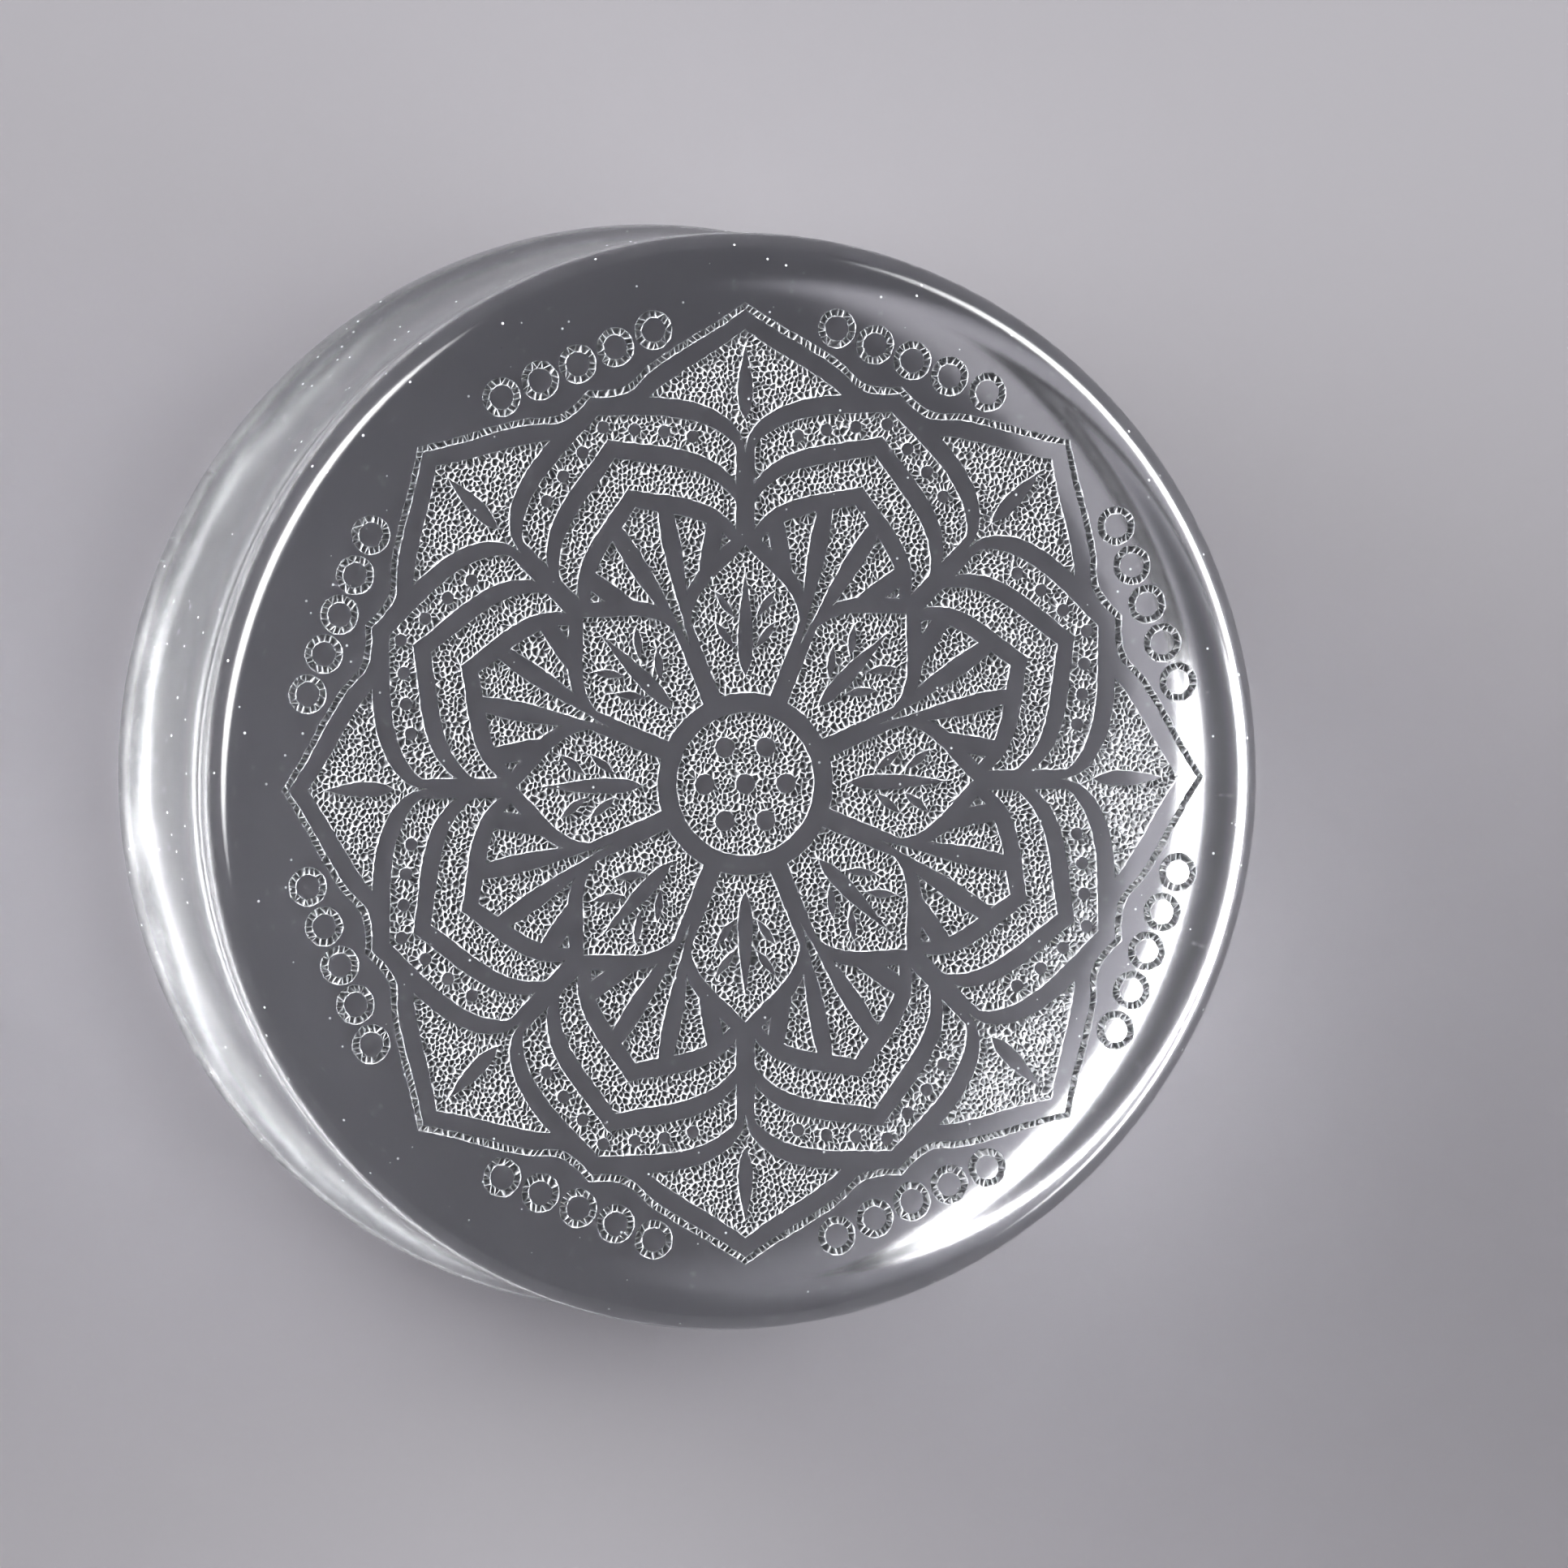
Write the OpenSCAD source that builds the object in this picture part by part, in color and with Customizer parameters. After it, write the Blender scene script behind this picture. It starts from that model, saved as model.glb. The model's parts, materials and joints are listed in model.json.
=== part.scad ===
// Double flare ear plug of clear glass, with a lotus rosette sunk into its front face.
// It lies on its plain back face. The origin is the middle of that face, and +Z is the plug's axis.

/* [Plug] */
// Diameter at the waist, where the stretched lobe sits
saddle_d = 41.3; // [40.5:0.1:44]
// How far each flare stands out from the waist
flare_h = 0.75; // [0.5:0.05:1.2]
// Length from face to face
plug_l = 15.8; // [14:0.1:20]
// Radius of the rounded rim between a face and its flare
rim_r = 1.9; // [1.5:0.1:2.2]
// Radius of the shoulder where a flare turns down to the waist
shoulder_r = 4.7; // [3:0.1:6]

/* [Engraving] */
// Depth of the sunk areas in the front face
engrave_depth = 0.15; // [0.1:0.05:0.6]
// Petals in each ring of the rosette
petals = 8; // [8:1:9]
// Clear glass left between two sunk areas
clear_gap = 0.75; // [0.5:0.05:0.8]
// Width of the drawn lines
line_w = 0.3; // [0.25:0.05:0.4]
// Outer diameter of a bead in the garlands
bead_d = 1.55; // [1.3:0.05:1.6]

/* [Hidden] */

$fn = 96;
over = 0.5;             // how far a cutter stands above the face that it cuts

flare_r = saddle_d / 2 + flare_h;
face_r = flare_r - rim_r;
crest_to_waist = plug_l / 2 - rim_r;

// The shoulder's arc and the waist's arc touch on the line between their centres.
arcs_r = (crest_to_waist * crest_to_waist + flare_h * flare_h) / (2 * flare_h);
waist_r = arcs_r - shoulder_r;
touch_z = rim_r + shoulder_r * crest_to_waist / arcs_r;
touch_x = flare_r - shoulder_r * flare_h / arcs_r;

// The rosette is drawn for a face of this radius, and follows the face's real size.
drawn_face_r = 19.5;
half_turn = 180 / petals;

// Columns of a ring of petals: its turn, the radius between two petals,
// the height of a petal's round part, and the height of the point on top
TURN = 0;
FOOT = 1;
ROUND = 2;
POINT = 3;

inner_ring = [0, 5.1, 3.2, 1.0];
palm_ring = [half_turn, 7.9, 3.0, 0.8];
middle_ring = [half_turn, 9.7, 3.2, 0.9];
band_ring = [half_turn, 12.1, 2.8, 0.7];
leaf_ring = [0, 13.0, 3.4, 1.3];

// Columns of a slit, pointed at both ends: its start, its end,
// half its greatest width, and the share of its length at which it is widest
START = 0;
END = 1;
HALF_W = 2;
PEAK = 3;

mid_vein = [4.2, 8.2, 0.3, 0.35];
side_vein = [0, 1.25, 0.16, 0.5];
fan_line = [0, 7.2, 0.36, 0.6];
leaf_vein = [14.2, 17, 0.3, 0.4];

side_vein_rs = [5.3, 6.5];              // where the side veins leave the middle one
side_vein_off = 0.45;
side_vein_slant = 38;

fan_r = 5.6;                            // where the palms' clear lines fan out from
fan_slants = [-33, -11, 11, 33];

pod_r = 2.8;                            // the seed pod in the middle
pod_seed_r = 0.4;
pod_seed_ring_r = 1.65;
pod_seeds = 6;

band_seed_r = 0.25;
band_seeds = [-0.6 : 0.2 : 0.6];        // places across a petal of the band

garland_r = 17.75;                      // radius of a garland's middle bead
garland_step = 5.3;                     // degrees from bead to bead
garland_rise = 0.08;                    // how a garland rises to its ends
garland_beads = [-2 : 2];

module plug() {
    color("aliceblue", 0.5)
        difference() {
            body();
            translate([0, 0, plug_l - engrave_depth])
                linear_extrude(engrave_depth + over)
                    scale(face_r / drawn_face_r)
                        engraving();
        }
}

module body() {
    rotate_extrude() {
        half_profile();
        translate([0, plug_l])
            mirror([0, 1])
                half_profile();
    }
}

// From a face to the waist: the rounded rim, the shoulder, and the waist's hollow
module half_profile() {
    difference() {
        union() {
            square([face_r, plug_l / 2]);
            translate([face_r, rim_r])
                circle(rim_r);
            translate([flare_r - shoulder_r, rim_r])
                intersection() {
                    circle(shoulder_r);
                    square([shoulder_r, touch_z - rim_r]);
                }
            translate([0, touch_z])
                square([touch_x, plug_l / 2 - touch_z]);
        }
        translate([saddle_d / 2 + waist_r, plug_l / 2])
            circle(waist_r);
    }
}

module engraving() {
    pod();
    inner_petals();
    palms();
    ring_fill(middle_ring, palm_ring);
    bands();
    leaves();
    outline();
    garlands();
}

// The outer edge of one petal: u runs from -1 at one side to 1 at the other, with the tip at 0.
function edge_at(ring, u) =
    ring[FOOT] + ring[ROUND] * sqrt(max(0, 1 - u * u)) + ring[POINT] * pow(1 - abs(u), 4);

// The same edge at an angle round the whole ring
function ring_at(ring, a) =
    let (t = (a - ring[TURN]) / half_turn)
    edge_at(ring, t - 2 * round(t / 2));

// The farther of two edges, or the only one
function farther(ring, other, a) =
    other == undef ? ring_at(ring, a) : max(ring_at(ring, a), ring_at(other, a));

function polar(r, a) = [r * cos(a), r * sin(a)];

// Angles round a ring, closer together at the petals' tips and feet
function ring_angles(n = 9) = [
    for (i = [0 : 2 * petals - 1])
        for (k = [0 : n - 1])
            half_turn * (i + (1 - cos(180 * k / n)) / 2)
];

module rosette(ring, grow = 0, other = undef) {
    polygon([for (a = ring_angles()) polar(farther(ring, other, a) + grow, a)]);
}

// What the ring in front leaves in sight of the ring behind it, cut into petals
module ring_fill(ring, front) {
    difference() {
        rosette(ring);
        rosette(front, clear_gap);
        spokes(ring[TURN] + half_turn);
    }
}

module spokes(turn) {
    each_petal(turn)
        translate([0, -clear_gap / 2])
            square([drawn_face_r, clear_gap]);
}

module each_petal(turn = 0) {
    for (i = [0 : petals - 1])
        rotate(turn + 2 * half_turn * i)
            children();
}

module slit(s, n = 8) {
    power = ln(0.5) / ln(s[PEAK]);
    function x(k) = s[START] + (s[END] - s[START]) * k / n;
    function y(k) = s[HALF_W] * sin(180 * pow(k / n, power));
    polygon(concat(
        [for (k = [0 : n]) [x(k), -y(k)]],
        [for (k = [n - 1 : -1 : 1]) [x(k), y(k)]]
    ));
}

module pod() {
    difference() {
        circle(pod_r);
        circle(pod_seed_r);
        for (i = [0 : pod_seeds - 1])
            rotate(360 / pod_seeds * i)
                translate([pod_seed_ring_r, 0])
                    circle(pod_seed_r);
    }
}

module inner_petals() {
    difference() {
        rosette(inner_ring);
        circle(pod_r + clear_gap);
        spokes(half_turn);
        each_petal()
            veins();
    }
}

module veins() {
    slit(mid_vein);
    for (r = side_vein_rs)
        for (side = [-1, 1])
            translate([r, side_vein_off * side])
                rotate(side_vein_slant * side)
                    slit(side_vein);
}

module palms() {
    difference() {
        ring_fill(palm_ring, inner_ring);
        each_petal(half_turn)
            translate([fan_r, 0])
                for (slant = fan_slants)
                    rotate(slant)
                        slit(fan_line);
    }
}

module bands() {
    difference() {
        ring_fill(band_ring, middle_ring);
        each_petal(half_turn)
            for (u = band_seeds)
                rotate(u * half_turn)
                    translate([mid_band(u), 0])
                        circle(band_seed_r);
    }
}

function mid_band(u) = (edge_at(middle_ring, u) + clear_gap + edge_at(band_ring, u)) / 2;

module leaves() {
    difference() {
        rosette(leaf_ring);
        rosette(band_ring, clear_gap);
        each_petal()
            slit(leaf_vein);
    }
}

// One thin line round the whole flower
module outline() {
    difference() {
        rosette(leaf_ring, clear_gap + line_w, band_ring);
        rosette(leaf_ring, clear_gap, band_ring);
    }
}

module garlands() {
    each_petal(half_turn)
        for (k = garland_beads)
            rotate(garland_step * k)
                translate([garland_r + garland_rise * k * k, 0])
                    bead();
}

module bead() {
    difference() {
        circle(d = bead_d);
        circle(d = bead_d - 2 * line_w);
    }
}

plug();
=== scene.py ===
import json
import math
import random

import bmesh
import bpy
from mathutils import Matrix, Vector, kdtree
from mathutils.bvhtree import BVHTree
from mathutils.geometry import delaunay_2d_cdt


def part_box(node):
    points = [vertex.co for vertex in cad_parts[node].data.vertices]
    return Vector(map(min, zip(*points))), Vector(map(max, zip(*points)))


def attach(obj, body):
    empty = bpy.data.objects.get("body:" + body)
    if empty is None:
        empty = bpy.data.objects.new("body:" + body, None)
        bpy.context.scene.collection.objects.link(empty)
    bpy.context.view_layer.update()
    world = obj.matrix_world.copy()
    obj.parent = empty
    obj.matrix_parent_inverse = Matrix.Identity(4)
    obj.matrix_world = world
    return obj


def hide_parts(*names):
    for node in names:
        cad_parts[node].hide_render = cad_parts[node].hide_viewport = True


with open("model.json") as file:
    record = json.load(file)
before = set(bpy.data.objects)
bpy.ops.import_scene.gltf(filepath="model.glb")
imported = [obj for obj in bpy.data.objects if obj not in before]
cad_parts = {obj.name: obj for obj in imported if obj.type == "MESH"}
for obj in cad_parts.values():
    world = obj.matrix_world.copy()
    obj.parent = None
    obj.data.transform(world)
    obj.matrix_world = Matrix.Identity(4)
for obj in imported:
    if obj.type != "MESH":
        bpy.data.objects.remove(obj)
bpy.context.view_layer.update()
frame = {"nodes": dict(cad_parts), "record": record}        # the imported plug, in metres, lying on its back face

mm = 0.001


def linear(hexColour):
    # sRGB hex to the linear values that the shaders want
    values = [int(hexColour[i:i + 2], 16) / 255 for i in (1, 3, 5)]
    return (*(v / 12.92 if v <= 0.04045 else ((v + 0.055) / 1.055) ** 2.4 for v in values), 1)


def addNode(tree, kind, settings=None, links=None, output=None):
    # Adds a node with its options, gives each input a value, another node's output or a list
    # of such outputs, and returns the output that is named, or the first one.
    node = tree.nodes.new(kind)
    for name, value in (settings or {}).items():
        setattr(node, name, value)
    for name, given in (links or {}).items():
        socket = node.inputs[name] if isinstance(name, int) else findSocket(node.inputs, name)
        for value in given if isinstance(given, list) else [given]:
            if isinstance(value, bpy.types.NodeSocket):
                tree.links.new(value, socket)
            else:
                socket.default_value = value
    return findSocket(node.outputs, output) if node.outputs else None


def findSocket(sockets, name):
    # the first socket in use, or the first of this name, since a node may have one for each data type
    return next(s for s in sockets if s.enabled and name in (None, s.name))


# The plug's sizes: the frame and its mount on the lobe give the large ones

saddle = next(m for m in frame["record"]["mounts"] if m["name"] == "lobe_saddle")

plug = {
    "length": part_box("plug")[1].z,
    "flareRadius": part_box("plug")[1].x,
    "waistRadius": saddle["dims"]["r_mm"] * mm,
    "rimRadius": 1.9 * mm,       # of the rounded rim between a face and its flare
    "shoulderRadius": 4.7 * mm,  # of the bend from a flare down to the waist
    "flatRing": 0.15 * mm,       # flat strip inside the rim, which keeps its shine even
    "sides": 256,
    "rimSteps": 19,
    "shoulderSteps": 13,
    "waistSteps": 13,
    "samePoint": 0.0001 * mm,    # points of the faces and the wall that are nearer than this are joined
}


# Camera: the photo's angle to the engraved face, from far away through a long lens

view = {
    "leftOfFace": 17.0,          # degrees to the left of the face's normal
    "aboveFace": 2.9,            # degrees towards the top of the face
    "distance": 0.92,            # to the front flare
    "frameWidth": 1932,          # pixels of the photo
    "flareCentre": (901.1, 963.0),  # the middle of the front flare in it
    "pixelsPerMm": 31.63,        # at the front flare
    "filmWidth": 36,
}


def makeCamera():
    side, rise = math.radians(view["leftOfFace"]), math.radians(view["aboveFace"])
    toCamera = Vector((-math.sin(side) * math.cos(rise), math.sin(rise), math.cos(side) * math.cos(rise)))
    right = Vector((0, 1, 0)).cross(toCamera).normalized()
    up = toCamera.cross(right)
    middle = view["frameWidth"] / 2
    across = (middle - view["flareCentre"][0]) / view["pixelsPerMm"] * mm
    upwards = (view["flareCentre"][1] - middle) / view["pixelsPerMm"] * mm
    target = Vector((0, 0, plug["length"] - plug["rimRadius"])) + right * across + up * upwards
    lens = bpy.data.cameras.new("camera")
    lens.sensor_width = view["filmWidth"]
    lens.lens = view["filmWidth"] * view["pixelsPerMm"] * view["distance"] / mm / view["frameWidth"]
    camera = bpy.data.objects.new("camera", lens)
    turn = Matrix((right, up, toCamera)).transposed()
    camera.matrix_world = Matrix.Translation(target + toCamera * view["distance"]) @ turn.to_4x4()
    bpy.context.scene.collection.objects.link(camera)
    bpy.context.scene.camera = camera


makeCamera()
print("camera made")


# The frosted front face: the CAD's sunk areas, whose floors are a crust of small chips

frost = {                        # lengths here, and in the functions that use them, are in millimetres
    "depth": 0.15,               # how far the areas are sunk, as in the CAD
    "slack": 0.01,               # a point that is nearer than this to the sunk floor lies on it
    "samePoint": 0.001,          # corners of the CAD's loose triangles that are nearer than this are joined
    "closest": 0.015,            # a point of an outline that is nearer than this to the last is left out
    "corner": 28,                # an outline keeps a corner where it turns by more degrees than this
    "fine": 0.03,                # the curve through the CAD's points is first drawn this fine
    "spacing": 0.21,             # then an outline has a point at each of these steps
    "fewest": 12,                # but no outline has fewer points
    "wander": 0.018,             # how far the chipped edge strays
    "chipSize": 0.195,           # distance that a chip's middle keeps from the others
    "chipVariety": 0.3,          # the share by which that distance varies
    "jointVariety": 0.6,         # how far from the middle between three chips their ridges may meet, 0 to 1
    "edgeRoom": 0.07,            # least distance from a chip's middle to an outline
    "tries": 0.05,               # spacing of the places that are tried for a chip, and along the outlines
    "roundOff": 1e-7,            # least distance that the triangles tell apart
    "chipDepth": 0.03,           # how far the middle of the deepest chip lies below the sunk floor
    "ridgeHeight": 0.13,         # how far the highest ridge stands up from it, nearly to the face
    "leastRelief": 0.6,          # the lowest ridges and the shallowest chips have this share of both
    "faintest": 0.8,             # a ridge has from this share of its white, which is partly a painted highlight, to all
    "edgeHighlight": 0.1,            # and this much more along an outline, as a painted highlight on its edge
    "seed": 7,
}


def cadOutlines():
    # the closed outlines of the sunk floors, and the solid itself to test places against
    solid = bmesh.new()
    solid.from_mesh(frame["nodes"]["plug"].data)
    bmesh.ops.remove_doubles(solid, verts=solid.verts, dist=frost["samePoint"] * mm)
    floor = plug["length"] - frost["depth"] * mm
    slack = frost["slack"] * mm
    floors = {face for face in solid.faces if all(abs(vert.co.z - floor) < slack for vert in face.verts)}
    # an edge between a floor and a wall is part of an outline, which is followed until it closes
    beside = {}
    for edge in solid.edges:
        if sum(face in floors for face in edge.link_faces) == 1:
            for one, two in (edge.verts, reversed(edge.verts)):
                beside.setdefault(one, []).append(two)
    outlines = []
    while beside:
        here = next(iter(beside))
        outline, last = [], None
        while here in beside:
            outline.append(here.co.xy / mm)
            ahead = [vert for vert in beside.pop(here) if vert is not last]
            last, here = here, ahead[0]
        outlines.append(outline)
    tree = BVHTree.FromBMesh(solid)
    solid.free()
    return outlines, tree


def curveThrough(guide, share):
    # a smooth curve from the second to the third of four points
    a, b, c, d = guide
    return (b * 2 + (c - a) * share + (a * 2 - b * 5 + c * 4 - d) * share ** 2
            + (b * 3 - a - c * 3 + d) * share ** 3) / 2


def evenSteps(run, before, after, step):
    # points in even steps along a smooth curve through a run of points
    guide = [before] + run + [after]
    fine = []
    for i in range(1, len(guide) - 2):
        parts = max(1, round((guide[i + 1] - guide[i]).length / frost["fine"]))
        fine += [curveThrough(guide[i - 1:i + 3], k / parts) for k in range(parts)]
    fine.append(run[-1])
    lengths = [0]
    for one, two in zip(fine, fine[1:]):
        lengths.append(lengths[-1] + (two - one).length)
    parts = max(1, round(lengths[-1] / step))
    points, at = [], 0
    for k in range(parts):
        goal = lengths[-1] * k / parts
        while lengths[at + 1] < goal:
            at += 1
        points.append(fine[at].lerp(fine[at + 1], (goal - lengths[at]) / (lengths[at + 1] - lengths[at])))
    return points


def chippedOutline(outline, rng):
    # the CAD's outline with even steps between its corners, and the small strays of a chipped edge
    kept = [p for i, p in enumerate(outline) if (p - outline[i - 1]).length > frost["closest"]]
    count = len(kept)
    total = sum((kept[i] - kept[i - 1]).length for i in range(count))
    step = min(frost["spacing"], total / frost["fewest"])
    stray = frost["wander"] * step / frost["spacing"]
    sharp = math.radians(frost["corner"])
    corners = [i for i in range(count)
               if abs((kept[i] - kept[i - 1]).angle_signed(kept[(i + 1) % count] - kept[i])) > sharp]
    points = []
    if corners:
        for a, b in zip(corners, corners[1:] + [corners[0] + count]):
            run = [kept[i % count] for i in range(a, b + 1)]
            first, *others = evenSteps(run, run[0] * 2 - run[1], run[-1] * 2 - run[-2], step)
            points += [first] + [strayed(p, stray, rng) for p in others]
    else:
        run = kept + [kept[0]]
        points = [strayed(p, stray, rng) for p in evenSteps(run, run[-2], run[1], step)]
    return points


def strayed(point, most, rng):
    return point + Vector((rng.uniform(-most, most), rng.uniform(-most, most)))


def chipMiddles(outlines, solid, rng):
    # darts thrown on the floors, each kept if it is clear of the others and of the outlines
    edgePoints = []
    for outline in outlines:
        for one, two in zip(outline, outline[1:] + outline[:1]):
            parts = max(1, round((two - one).length / frost["tries"]))
            edgePoints += [one.lerp(two, k / parts) for k in range(parts)]
    edgeTree = kdtree.KDTree(len(edgePoints))
    for i, point in enumerate(edgePoints):
        edgeTree.insert(point.to_3d(), i)
    edgeTree.balance()
    step = frost["tries"]
    reach = int((plug["flareRadius"] - plug["rimRadius"]) / mm / step)
    floor = plug["length"] - frost["depth"] * mm
    darts = []
    for i in range(-reach, reach + 1):
        for j in range(-reach, reach + 1):
            dart = strayed(Vector((i * step, j * step)), step / 2, rng)
            if dart.length > reach * step:
                continue
            above = Vector((dart.x * mm, dart.y * mm, 2 * plug["length"]))
            hit = solid.ray_cast(above, Vector((0, 0, -1)))[0]
            if abs(hit.z - floor) < frost["slack"] * mm:
                darts.append(dart)
    rng.shuffle(darts)
    square = frost["chipSize"] * (1 + frost["chipVariety"])
    squares, kept = {}, []
    for dart in darts:
        size = frost["chipSize"] * rng.uniform(1 - frost["chipVariety"], 1 + frost["chipVariety"])
        column, row = int(dart.x // square), int(dart.y // square)
        near = [p for a in (-1, 0, 1) for b in (-1, 0, 1) for p in squares.get((column + a, row + b), ())]
        if any((p - dart).length < size for p in near):
            continue
        if edgeTree.find(dart.to_3d())[2] < frost["edgeRoom"]:
            continue
        squares.setdefault((column, row), []).append(dart)
        kept.append(dart)
    return kept


def trianglesByOutline(points, edges):
    # Joins the points by triangles that keep to the outlines, and tells which lie inside one:
    # from the hull inwards, each outline crossed turns outside to inside, or back.
    _, lines, faces, fromPoint, fromLine, _ = delaunay_2d_cdt(points, edges, [], 0, frost["roundOff"])
    walls = {frozenset(line) for line, ids in zip(lines, fromLine) if ids}
    beside = {}
    for number, face in enumerate(faces):
        for i in range(3):
            beside.setdefault(frozenset((face[i - 1], face[i])), []).append(number)
    inside = [None] * len(faces)
    waiting = []
    for line, owners in beside.items():
        if len(owners) == 1 and inside[owners[0]] is None:
            inside[owners[0]] = line in walls
            waiting.append(owners[0])
    while waiting:
        number = waiting.pop()
        for i in range(3):
            line = frozenset((faces[number][i - 1], faces[number][i]))
            for other in beside[line]:
                if inside[other] is None:
                    inside[other] = inside[number] ^ (line in walls)
                    waiting.append(other)
    return [(isInside, [fromPoint[v][0] for v in face]) for isInside, face in zip(inside, faces)]


def addPoint(face, place, sunk, ridge):
    # a point that lies so far below the face; ridge is about 1 on a ridge and 0 in a chip's middle
    face["verts"].append((place.x * mm, place.y * mm, plug["length"] - sunk * mm))
    face["sunk"].append(sunk > 0)
    face["ridge"].append(ridge)
    return len(face["verts"]) - 1


def addFacet(face, corners, etched):
    # a facet, unless two of its corners are the same point
    if len(set(corners)) == len(corners):
        face["facets"].append(corners)
        face["etched"].append(etched)


def facesUp(face, corners):
    a, b, c = (Vector(face["verts"][v]).xy for v in corners)
    return (b - a).cross(c - a) > 0


def addMiddle(face, place):
    return addPoint(face, place, frost["depth"], 0)


def addRidgePoint(face, place, extra=0):
    return addPoint(face, place, frost["depth"], face["rng"].uniform(frost["faintest"], 1) + extra)


def halfway(face, a, b, places):
    # the point in the middle of an outline's edge, made once for all the facets that meet there
    key = frozenset((a, b))
    if key not in face["halves"]:
        face["halves"][key] = addRidgePoint(face, (places[a] + places[b]) / 2, frost["edgeHighlight"])
    return face["halves"][key]


def addChips(face, outlinePoints, outlineEdges, middles):
    # Each chip is a fan of facets round its own middle. It meets its neighbours in ridges,
    # whose joints lie in the triangles between the middles.
    places = outlinePoints + middles
    shared = len(outlinePoints)
    # the outline's points carry the painted edge highlight as well
    own = [addRidgePoint(face, place, frost["edgeHighlight"]) for place in outlinePoints]
    own += [addMiddle(face, place) for place in middles]
    sides = {}
    for inside, triangle in trianglesByOutline(places, outlineEdges):
        if not inside:
            continue
        onEdge = [v for v in triangle if v < shared]
        shares = [1 + face["rng"].uniform(-frost["jointVariety"], frost["jointVariety"]) for _ in triangle]
        weighted = sum((places[v] * share for v, share in zip(triangle, shares)), Vector((0, 0)))
        between = weighted / sum(shares)
        around = [(triangle[i], triangle[(i + 1) % 3]) for i in range(3)]
        if len(onEdge) == 3:
            middle = addMiddle(face, between)
            for one, two in around:
                half = halfway(face, one, two, places)
                addFacet(face, [middle, own[one], half], True)
                addFacet(face, [middle, half, own[two]], True)
            continue
        if len(onEdge) == 2:
            joint = halfway(face, *onEdge, places)
        elif len(onEdge) == 1:
            joint = own[onEdge[0]]
        else:
            joint = addRidgePoint(face, between)
        for one, two in around:
            sides.setdefault(frozenset((one, two)), []).append((one, two, joint))
    for owners in sides.values():
        one, two, joint = owners[0]
        if one < shared and two < shared:
            continue
        other = owners[1][2]
        ridged = [own[one], other, joint], [own[two], joint, other]
        if min(one, two) >= shared and all(facesUp(face, corners) for corners in ridged):
            for corners in ridged:
                addFacet(face, corners, True)
        else:
            for one, two, joint in owners:
                addFacet(face, [own[one], own[two], joint], True)
    return own


def addWallsAndTop(face, outlines, outlinePoints, own):
    # The low walls round the sunk areas, and the flat face between them. Its edge has as many points
    # as the body has sides, so that the two join.
    turns = [2 * math.pi * i / plug["sides"] for i in range(plug["sides"])]
    discRadius = (plug["flareRadius"] - plug["rimRadius"] - plug["flatRing"]) / mm
    places = [Vector((math.cos(turn), math.sin(turn))) * discRadius for turn in turns]
    topPoints = [addPoint(face, place, 0, 0) for place in places]
    taken = {pair for corners in face["facets"] for pair in zip(corners, corners[1:] + corners[:1])}
    edges, first = [], 0
    for outline in outlines:
        chain = []
        for i in range(len(outline)):
            a, b = first + i, first + (i + 1) % len(outline)
            chain += [(own[a], outlinePoints[a]),
                      (halfway(face, a, b, outlinePoints), (outlinePoints[a] + outlinePoints[b]) / 2)]
        first += len(outline)
        start = len(places)
        for _, place in chain:
            places.append(place)
            topPoints.append(addPoint(face, place, 0, 0))
        for i in range(len(chain)):
            j = (i + 1) % len(chain)
            edges.append((start + i, start + j))
            wall = [chain[i][0], chain[j][0], topPoints[start + j], topPoints[start + i]]
            # two facets that face the same way run along their common edge in opposite directions
            addFacet(face, wall[::-1] if tuple(wall[:2]) in taken else wall, False)
    for inside, triangle in trianglesByOutline(places, edges):
        if not inside:
            addFacet(face, [topPoints[v] for v in triangle], False)


def makeFrontFace():
    rng = random.Random(frost["seed"])
    cadLoops, solid = cadOutlines()
    outlines = [chippedOutline(loop, rng) for loop in cadLoops]
    middles = chipMiddles(outlines, solid, rng)
    outlinePoints = [point for outline in outlines for point in outline]
    edges, first = [], 0
    for outline in outlines:
        edges += [(first + i, first + (i + 1) % len(outline)) for i in range(len(outline))]
        first += len(outline)
    # the mesh as it grows, with a value of sunk and ridge for each point and of etched for each facet
    face = {"verts": [], "sunk": [], "ridge": [], "facets": [], "etched": [], "halves": {}, "rng": rng}
    own = addChips(face, outlinePoints, edges, middles)
    addWallsAndTop(face, outlines, outlinePoints, own)
    mesh = bpy.data.meshes.new("frontFace")
    mesh.from_pydata(face["verts"], [], face["facets"])
    for name, kind, domain in (("sunk", "BOOLEAN", "POINT"), ("ridge", "FLOAT", "POINT"),
                               ("etched", "BOOLEAN", "FACE")):
        mesh.attributes.new(name, kind, domain).data.foreach_set("value", face[name])
    print("front face:", len(outlines), "outlines,", len(middles), "chips,", len(mesh.polygons), "facets")
    return mesh


# Finishes

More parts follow.
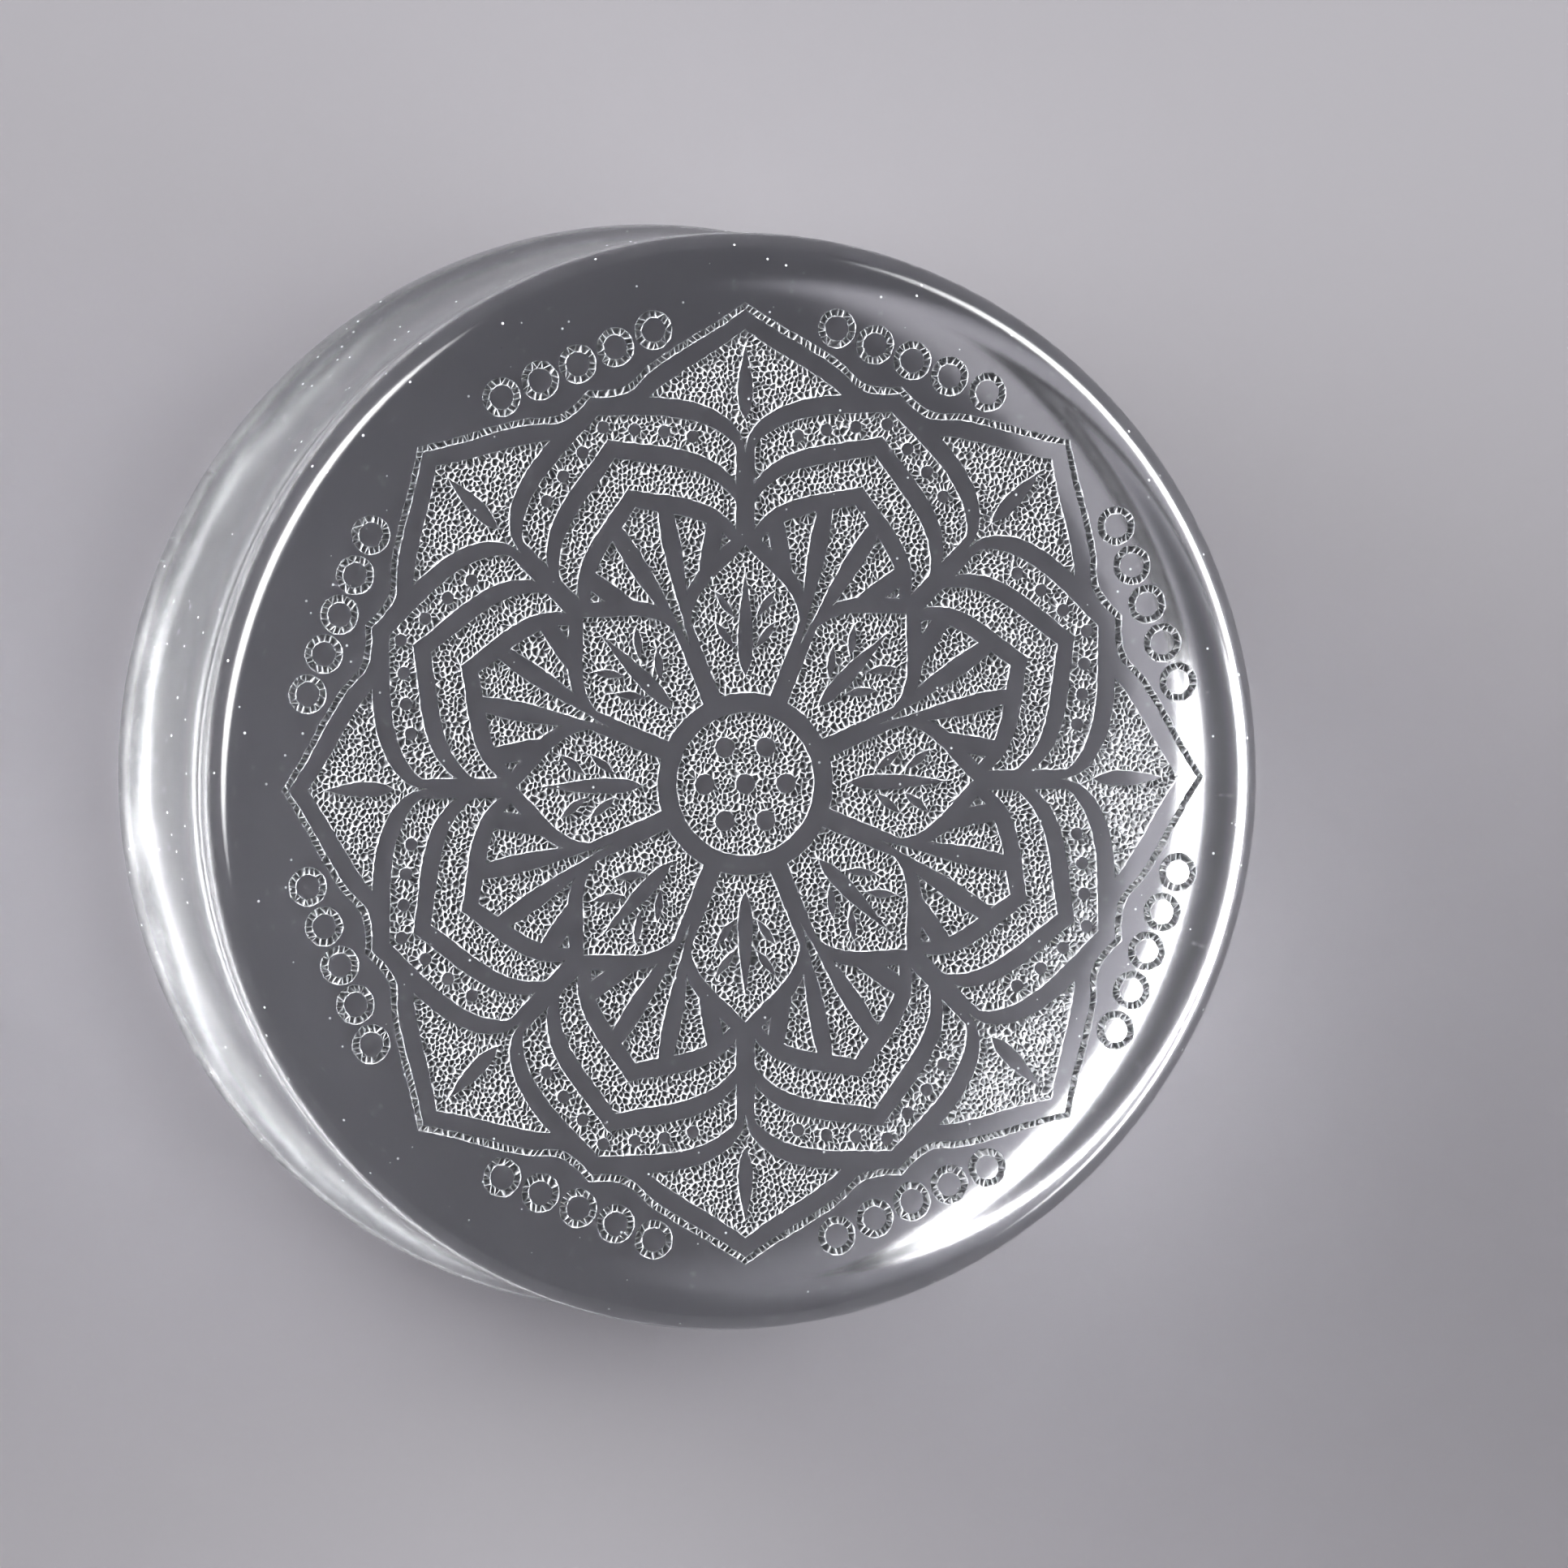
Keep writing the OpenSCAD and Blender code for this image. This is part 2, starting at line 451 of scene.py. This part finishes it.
glass = {
    "colour": "#f9fafc",         # colourless, with the faintest blue in its depth
    "ior": 1.5,                  # soda-lime glass
    "roughness": 0.15,
    "waveSize": 5.0,             # mm, of the soft waves that fire-polishing leaves
    "waveHeight": 0.0006,        # mm
    "dustSpacing": 0.8,          # mm
    "dustSize": 0.045,           # mm
    "dustSoftness": 0.4,         # a grain fades over this share of its size, inwards and outwards
    "dustColour": "#dfe3e6",
    "dustRoughness": 0.6,
    "chipColour": "#929396",
    "chipClearness": 0.45,       # share of the light that a chip's middle lets through
    "chipRoughness": 0.35,
    # lighter than the chips: partly the frost's own white, partly a painted highlight on the ridges
    "ridgeHighlightColour": "#cecfd2",
    "ridgeRoughness": 0.7,
    "ridgeFoot": 0.55,           # a chip begins to whiten with the painted ridge highlight at this share of a ridge's height
    "ridgeTop": 0.92,            # and is all white from this one
    "patchSize": 0.15,           # mm, of the patches with wider or finer painted ridge highlights
    "patchNoise": (0.3, 0.7),    # most of the noise that makes them lies between these
    "patchShift": 0.16,          # how far they shift the two shares, either way
}


def firePolishedGlass():
    # Soda-lime art glass, poured and fire-polished: clear and shining, with soft waves in its skin
    # and a few grains of dust on it.
    material = bpy.data.materials.new("firePolishedGlass")
    material.use_nodes = True
    tree = material.node_tree
    shader = tree.nodes["Principled BSDF"]
    place = addNode(tree, "ShaderNodeTexCoord", output="Object")
    speck = addNode(tree, "ShaderNodeTexVoronoi", output="Distance",
                    links={"Vector": place, "Scale": 1 / (glass["dustSpacing"] * mm)})
    size = glass["dustSize"] / glass["dustSpacing"]
    fade = size * glass["dustSoftness"]
    dust = addNode(tree, "ShaderNodeMapRange", {"interpolation_type": "SMOOTHSTEP"},
                   {"Value": speck, "From Min": size + fade, "From Max": size - fade})
    wave = addNode(tree, "ShaderNodeTexNoise",
                   links={"Vector": place, "Scale": 1 / (glass["waveSize"] * mm), "Detail": 2.0})
    bump = addNode(tree, "ShaderNodeBump",
                   links={"Height": wave, "Strength": 1.0, "Distance": glass["waveHeight"] * mm})
    colour = addNode(tree, "ShaderNodeMix", {"data_type": "RGBA"},
                     {"Factor": dust, "A": linear(glass["colour"]), "B": linear(glass["dustColour"])})
    clear = addNode(tree, "ShaderNodeMath", {"operation": "SUBTRACT"}, {0: 1.0, 1: dust})
    rough = addNode(tree, "ShaderNodeMapRange",
                    links={"Value": dust, "To Min": glass["roughness"], "To Max": glass["dustRoughness"]})
    shader.inputs["IOR"].default_value = glass["ior"]
    tree.links.new(colour, shader.inputs["Base Color"])
    tree.links.new(clear, shader.inputs["Transmission Weight"])
    tree.links.new(rough, shader.inputs["Roughness"])
    tree.links.new(bump, shader.inputs["Normal"])
    return material


def chippedFrost():
    # The same glass, etched to a coarse crystalline frost: white where two chips meet in a ridge,
    # partly the frost's own white and partly a painted highlight, greyer and half clear inside a chip.
    material = bpy.data.materials.new("chippedFrost")
    material.use_nodes = True
    tree = material.node_tree
    shader = tree.nodes["Principled BSDF"]
    place = addNode(tree, "ShaderNodeTexCoord", output="Object")
    ridge = addNode(tree, "ShaderNodeAttribute", {"attribute_name": "ridge"}, output="Fac")
    patch = addNode(tree, "ShaderNodeTexNoise",
                    links={"Vector": place, "Scale": 1 / (glass["patchSize"] * mm), "Detail": 1.0})
    low, high = glass["patchNoise"]
    shift = addNode(tree, "ShaderNodeMapRange",
                    links={"Value": patch, "From Min": low, "From Max": high,
                           "To Min": -glass["patchShift"], "To Max": glass["patchShift"]})
    height = addNode(tree, "ShaderNodeMath", {"operation": "ADD"}, {0: ridge, 1: shift})
    # the ridges are painted lighter than the chips, partly the frost's own white and partly a painted highlight
    line = addNode(tree, "ShaderNodeMapRange", {"interpolation_type": "SMOOTHSTEP"},
                   {"Value": height, "From Min": glass["ridgeFoot"], "From Max": glass["ridgeTop"]})
    colour = addNode(tree, "ShaderNodeMix", {"data_type": "RGBA"},
                     {"Factor": line, "A": linear(glass["chipColour"]), "B": linear(glass["ridgeHighlightColour"])})
    clear = addNode(tree, "ShaderNodeMapRange",
                    links={"Value": line, "To Min": glass["chipClearness"], "To Max": 0.0})
    rough = addNode(tree, "ShaderNodeMapRange",
                    links={"Value": line, "To Min": glass["chipRoughness"],
                           "To Max": glass["ridgeRoughness"]})
    shader.inputs["IOR"].default_value = glass["ior"]
    tree.links.new(colour, shader.inputs["Base Color"])
    tree.links.new(clear, shader.inputs["Transmission Weight"])
    tree.links.new(rough, shader.inputs["Roughness"])
    return material


# The plug's body: a profile of arcs turned round the axis, closed by its back disc and the front face

def plugTree(sizes):
    # The profile is drawn in the XY plane, with X as the distance from the axis and Y as the depth
    # below the front face. The circle that carries it round the axis turns it upright.
    tree = bpy.data.node_groups.new("turnedPlug", "GeometryNodeTree")
    tree.interface.new_socket("Geometry", in_out="INPUT", socket_type="NodeSocketGeometry")
    kinds = {int: "NodeSocketInt", float: "NodeSocketFloat"}
    for name, value in sizes.items():
        kind = kinds.get(type(value), "NodeSocketMaterial")
        tree.interface.new_socket(name, in_out="INPUT", socket_type=kind)
    tree.interface.new_socket("Geometry", in_out="OUTPUT", socket_type="NodeSocketGeometry")
    given = tree.nodes.new("NodeGroupInput").outputs

    def addArc(steps, radius, start, sweep, centre, depth):
        # a stretch of the profile, whose centre is this far from the axis and lies this deep
        curve = addNode(tree, "GeometryNodeCurveArc", {"mode": "RADIUS"},
                        {"Resolution": given[steps], "Radius": given[radius],
                         "Start Angle": start, "Sweep Angle": sweep})
        place = addNode(tree, "ShaderNodeCombineXYZ", links={"X": centre, "Y": depth})
        return addNode(tree, "GeometryNodeTransform", links={"Geometry": curve, "Translation": place})

    discEdge = addNode(tree, "ShaderNodeCombineXYZ", links={"X": given["Disc radius"]})
    faceEdge = addNode(tree, "ShaderNodeCombineXYZ", links={"X": given["Face radius"]})
    strip = addNode(tree, "GeometryNodeCurvePrimitiveLine", {"mode": "POINTS"},
                    {"Start": discEdge, "End": faceEdge})
    rim = addArc("Rim steps", "Rim radius", -math.pi / 2, math.pi / 2,
                 given["Face radius"], given["Rim radius"])
    shoulder = addArc("Shoulder steps", "Shoulder radius", 0.0, given["Shoulder angle"],
                      given["Shoulder centre"], given["Rim radius"])
    waistStart = addNode(tree, "ShaderNodeMath", {"operation": "ADD"},
                         {0: given["Shoulder angle"], 1: math.pi})
    waistSweep = addNode(tree, "ShaderNodeMath", {"operation": "MULTIPLY"},
                         {0: given["Shoulder angle"], 1: -1.0})
    halfLength = addNode(tree, "ShaderNodeMath", {"operation": "DIVIDE"}, {0: given["Length"], 1: 2.0})
    waist = addArc("Waist steps", "Waist arc radius", waistStart, waistSweep,
                   given["Waist centre"], halfLength)
    frontHalf = addNode(tree, "GeometryNodeJoinGeometry", links={"Geometry": [strip, rim, shoulder, waist]})
    downwards = addNode(tree, "ShaderNodeCombineXYZ", links={"Y": given["Length"]})
    mirrored = addNode(tree, "GeometryNodeTransform", links={"Geometry": frontHalf, "Scale": (1, -1, 1),
                                                             "Translation": downwards})
    backHalf = addNode(tree, "GeometryNodeReverseCurve", links={"Curve": mirrored})
    halves = addNode(tree, "GeometryNodeJoinGeometry", links={"Geometry": [frontHalf, backHalf]})
    toPath = addNode(tree, "ShaderNodeVectorMath", {"operation": "SCALE"},
                     {"Vector": faceEdge, "Scale": -1.0})
    profile = addNode(tree, "GeometryNodeTransform", links={"Geometry": halves, "Translation": toPath})
    path = addNode(tree, "GeometryNodeCurvePrimitiveCircle", {"mode": "RADIUS"},
                   {"Resolution": given["Sides"], "Radius": given["Face radius"]})
    turned = addNode(tree, "GeometryNodeCurveToMesh", links={"Curve": path, "Profile Curve": profile})
    upwards = addNode(tree, "ShaderNodeCombineXYZ", links={"Z": given["Length"]})
    raised = addNode(tree, "GeometryNodeTransform", links={"Geometry": turned, "Translation": upwards})
    wall = addNode(tree, "GeometryNodeSetShadeSmooth", links={"Geometry": raised, "Shade Smooth": True})

    disc = addNode(tree, "GeometryNodeMeshCircle", {"fill_type": "NGON"},
                   {"Vertices": given["Sides"], "Radius": given["Disc radius"]})
    facingDown = addNode(tree, "GeometryNodeFlipFaces", links={"Mesh": disc})
    backDisc = addNode(tree, "GeometryNodeSetShadeSmooth",
                       links={"Geometry": facingDown, "Shade Smooth": False})

    ridge = addNode(tree, "GeometryNodeInputNamedAttribute", {"data_type": "FLOAT"}, {"Name": "ridge"})
    sunk = addNode(tree, "GeometryNodeInputNamedAttribute", {"data_type": "BOOLEAN"}, {"Name": "sunk"})
    etched = addNode(tree, "GeometryNodeInputNamedAttribute", {"data_type": "BOOLEAN"}, {"Name": "etched"})
    hollow = addNode(tree, "ShaderNodeMath", {"operation": "MULTIPLY"}, {0: given["Chip depth"], 1: -1.0})
    relief = addNode(tree, "ShaderNodeMix", {"data_type": "FLOAT"},
                     {"Factor": ridge, "A": hollow, "B": given["Ridge height"]})
    chance = addNode(tree, "FunctionNodeRandomValue", {"data_type": "FLOAT"},
                     {"Min": given["Least relief"], "Max": 1.0, "Seed": given["Seed"]})
    lift = addNode(tree, "ShaderNodeMath", {"operation": "MULTIPLY"}, {0: relief, 1: chance})
    offset = addNode(tree, "ShaderNodeCombineXYZ", links={"Z": lift})
    crust = addNode(tree, "GeometryNodeSetPosition",
                    links={"Geometry": given["Geometry"], "Selection": sunk, "Offset": offset})

    parts = addNode(tree, "GeometryNodeJoinGeometry", links={"Geometry": [crust, wall, backDisc]})
    closed = addNode(tree, "GeometryNodeMergeByDistance",
                     links={"Geometry": parts, "Distance": given["Merge distance"]})
    real = addNode(tree, "GeometryNodeRealizeInstances", links={"Geometry": closed})
    clear = addNode(tree, "GeometryNodeSetMaterial", links={"Geometry": real, "Material": given["Glass"]})
    frosted = addNode(tree, "GeometryNodeSetMaterial",
                      links={"Geometry": clear, "Selection": etched, "Material": given["Frost"]})
    addNode(tree, "NodeGroupOutput", links={"Geometry": frosted})
    return tree


def makePlug():
    # the shoulder's arc and the waist's arc touch on the line between their centres
    crestToWaist = plug["length"] / 2 - plug["rimRadius"]
    flareHeight = plug["flareRadius"] - plug["waistRadius"]
    bothArcs = (crestToWaist ** 2 + flareHeight ** 2) / (2 * flareHeight)
    faceRadius = plug["flareRadius"] - plug["rimRadius"]
    sizes = {
        "Length": plug["length"],
        "Face radius": faceRadius,
        "Disc radius": faceRadius - plug["flatRing"],
        "Rim radius": plug["rimRadius"],
        "Shoulder radius": plug["shoulderRadius"],
        "Shoulder centre": plug["flareRadius"] - plug["shoulderRadius"],
        "Shoulder angle": math.asin(crestToWaist / bothArcs),
        "Waist arc radius": bothArcs - plug["shoulderRadius"],
        "Waist centre": plug["waistRadius"] + bothArcs - plug["shoulderRadius"],
        "Sides": plug["sides"],
        "Rim steps": plug["rimSteps"],
        "Shoulder steps": plug["shoulderSteps"],
        "Waist steps": plug["waistSteps"],
        "Chip depth": frost["chipDepth"] * mm,
        "Ridge height": frost["ridgeHeight"] * mm,
        "Least relief": frost["leastRelief"],
        "Merge distance": plug["samePoint"],
        "Seed": frost["seed"],
        "Glass": firePolishedGlass(),
        "Frost": chippedFrost(),
    }
    tree = plugTree(sizes)
    piece = bpy.data.objects.new("engravedPlug", makeFrontFace())
    bpy.context.scene.collection.objects.link(piece)
    modifier = piece.modifiers.new("turnedPlug", "NODES")
    modifier.node_group = tree
    for item in tree.interface.items_tree:
        if item.in_out == "INPUT" and item.name in sizes:
            modifier[item.identifier] = sizes[item.name]
    ready = piece.evaluated_get(bpy.context.evaluated_depsgraph_get())
    whole = bpy.data.meshes.new_from_object(ready)
    piece.modifiers.remove(modifier)
    piece.data = whole
    whole.name = "engravedPlug"
    whole.materials.pop(index=0)  # an empty slot that the tree leaves before the two finishes
    print("plug:", len(whole.vertices), "points,", len(whole.polygons), "faces")
    return piece


engravedPlug = makePlug()
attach(engravedPlug, "root")
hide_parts("plug")


# Stage: a plain pale floor, low soft lights to the left and the right, and a dim room

stage = {
    "floorSize": 3.0,
    "floorDrop": 0.1 * mm,       # the floor lies this far below the plug, so that the two skins stay apart
    "floorColour": "#a09ea2",
    "floorRoughness": 0.8,
    "floorShine": 0.2,
    "roomColour": "#8e8e92",
    "roomStrength": 0.25,
    "contrast": "High Contrast",  # of the picture, so that the frost stands out from the clear glass
}

lights = {
    # name: degrees round from +X, degrees above the floor, distance, width, height, watts
    "left": (152, 12, 0.9, 1.7, 0.34, 96),
    "right": (22, 12, 0.9, 1.5, 0.34, 55),
    "nearRight": (344, 6.5, 0.9, 1.1, 0.19, 40),
}


def palePaper():
    # Matt studio paper, pulled smooth: plain and pale, with hardly any shine.
    material = bpy.data.materials.new("palePaper")
    material.use_nodes = True
    shader = material.node_tree.nodes["Principled BSDF"]
    shader.inputs["Base Color"].default_value = linear(stage["floorColour"])
    shader.inputs["Roughness"].default_value = stage["floorRoughness"]
    shader.inputs["Specular IOR Level"].default_value = stage["floorShine"]
    return material


def makeFloor():
    half = stage["floorSize"] / 2
    corners = [(-half, -half), (half, -half), (half, half), (-half, half)]
    mesh = bpy.data.meshes.new("floor")
    mesh.from_pydata([(x, y, -stage["floorDrop"]) for x, y in corners], [], [(0, 1, 2, 3)])
    mesh.materials.append(palePaper())
    floor = bpy.data.objects.new("floor", mesh)
    bpy.context.scene.collection.objects.link(floor)


def makeLights():
    for name, (turn, rise, distance, width, height, watts) in lights.items():
        light = bpy.data.lights.new(name, "AREA")
        light.shape = "RECTANGLE"
        light.size, light.size_y = width, height
        light.energy = watts
        light.use_nodes = True
        # each lamp is brightest in its middle and fades to nothing at its edges, as a softbox does
        place = addNode(light.node_tree, "ShaderNodeNewGeometry", output="Parametric")
        centred = addNode(light.node_tree, "ShaderNodeMapping",
                          links={"Vector": place, "Location": (-1, -1, 0), "Scale": (2, 2, 1)})
        fade = addNode(light.node_tree, "ShaderNodeTexGradient", {"gradient_type": "SPHERICAL"},
                       {"Vector": centred}, output="Fac")
        light.node_tree.links.new(fade, light.node_tree.nodes["Emission"].inputs["Strength"])
        lamp = bpy.data.objects.new(name, light)
        turn, rise = math.radians(turn), math.radians(rise)
        away = Vector((math.cos(turn) * math.cos(rise), math.sin(turn) * math.cos(rise), math.sin(rise)))
        facing = away.to_track_quat("Z", "Y").to_matrix().to_4x4()
        lamp.matrix_world = Matrix.Translation(away * distance) @ facing
        lamp.visible_camera = False
        bpy.context.scene.collection.objects.link(lamp)


def makeRoom():
    room = bpy.data.worlds.new("room")
    room.use_nodes = True
    shader = room.node_tree.nodes["Background"]
    shader.inputs["Color"].default_value = linear(stage["roomColour"])
    shader.inputs["Strength"].default_value = stage["roomStrength"]
    bpy.context.scene.world = room


bpy.context.scene.view_settings.view_transform = "Standard"
bpy.context.scene.view_settings.look = stage["contrast"]
makeFloor()
makeLights()
makeRoom()
print("stage made")
